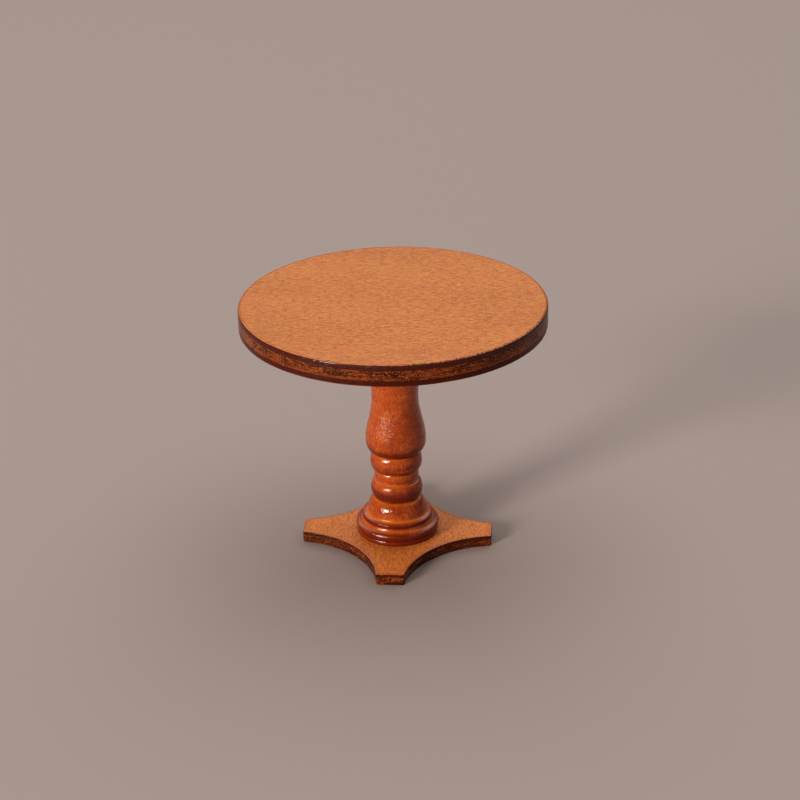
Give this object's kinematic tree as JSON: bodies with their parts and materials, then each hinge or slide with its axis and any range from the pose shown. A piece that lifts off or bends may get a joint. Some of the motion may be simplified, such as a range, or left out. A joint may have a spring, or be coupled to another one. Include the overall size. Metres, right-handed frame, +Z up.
{
  "type": "miniature dining table",
  "caption": "Round dolls house dining table: plywood top on a turned wooden column with a flat base of pointed arms and hollow sides.",
  "frame": {"origin": "the point of the floor on the column's axis, at the base's underside", "axes": "+Z up along the column's axis; the base's arms lie along +X, +Y, -X and -Y"},
  "size_m": [0.06, 0.06, 0.052],
  "materials": {
    "tabletop_face": "orange-brown stained veneer with a satin varnish, fine pores along one direction",
    "tabletop_core": "laser-burnt core ply, end grain, speckled and matt",
    "tabletop_back": "laser-burnt back ply, dark edge and stained underside",
    "column": "turned wood with a glossy red-brown lacquer, darker in the grooves",
    "base_face": "orange-brown stained veneer with a satin varnish",
    "base_core": "laser-burnt core ply, matt",
    "base_back": "laser-burnt back ply, stained underside",
    "dowel": "bare beech",
    "screw": "yellow zinc plated"
  },
  "bodies": {
    "root": {"tabletop_face_ply": "tabletop_face", "tabletop_core_ply": "tabletop_core", "tabletop_back_ply": "tabletop_back", "pedestal_column": "column", "base_face_ply": "base_face", "base_core_ply": "base_core", "base_back_ply": "base_back", "top_dowel": "dowel", "base_screw": "screw"}
  },
  "joints": []
}
